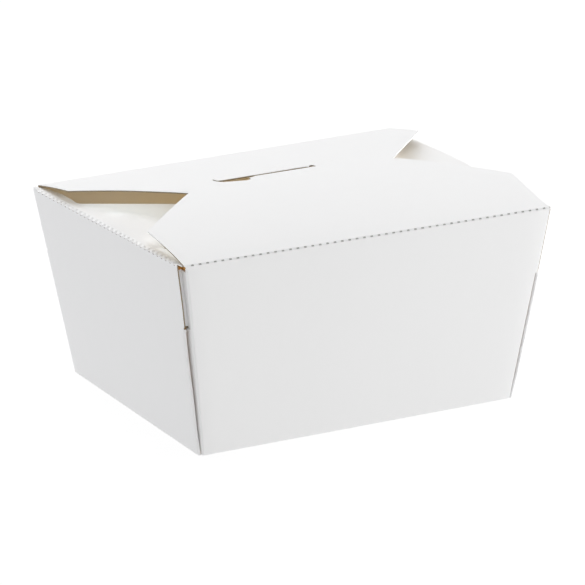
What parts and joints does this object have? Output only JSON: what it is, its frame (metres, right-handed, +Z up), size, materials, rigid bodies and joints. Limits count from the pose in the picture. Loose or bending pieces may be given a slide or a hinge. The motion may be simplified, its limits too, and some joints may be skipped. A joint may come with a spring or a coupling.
{
  "type": "folding takeout food box",
  "caption": "White paperboard takeout food box with tapered sides, folded web corners and tuck-in lid flaps, the front flap locking into a slot in the back flap.",
  "frame": {"origin": "centre of the underside of the base", "axes": "+X along the box's length, to the right seen from the front; +Y from the front wall to the back wall; +Z up"},
  "size_m": [0.1314, 0.1038, 0.0712],
  "materials": {
    "board": "matte"
  },
  "bodies": {
    "carton": {"carton": "board"},
    "front_flap": {"front_flap": "board"}
  },
  "joints": [
    {"name": "front_flap_hinge", "type": "hinge", "parent": "carton", "child": "front_flap", "pos_m": [0, -0.0519, 0.0636], "axis": [1, 0, 0], "range_deg": [0, 200]}
  ]
}
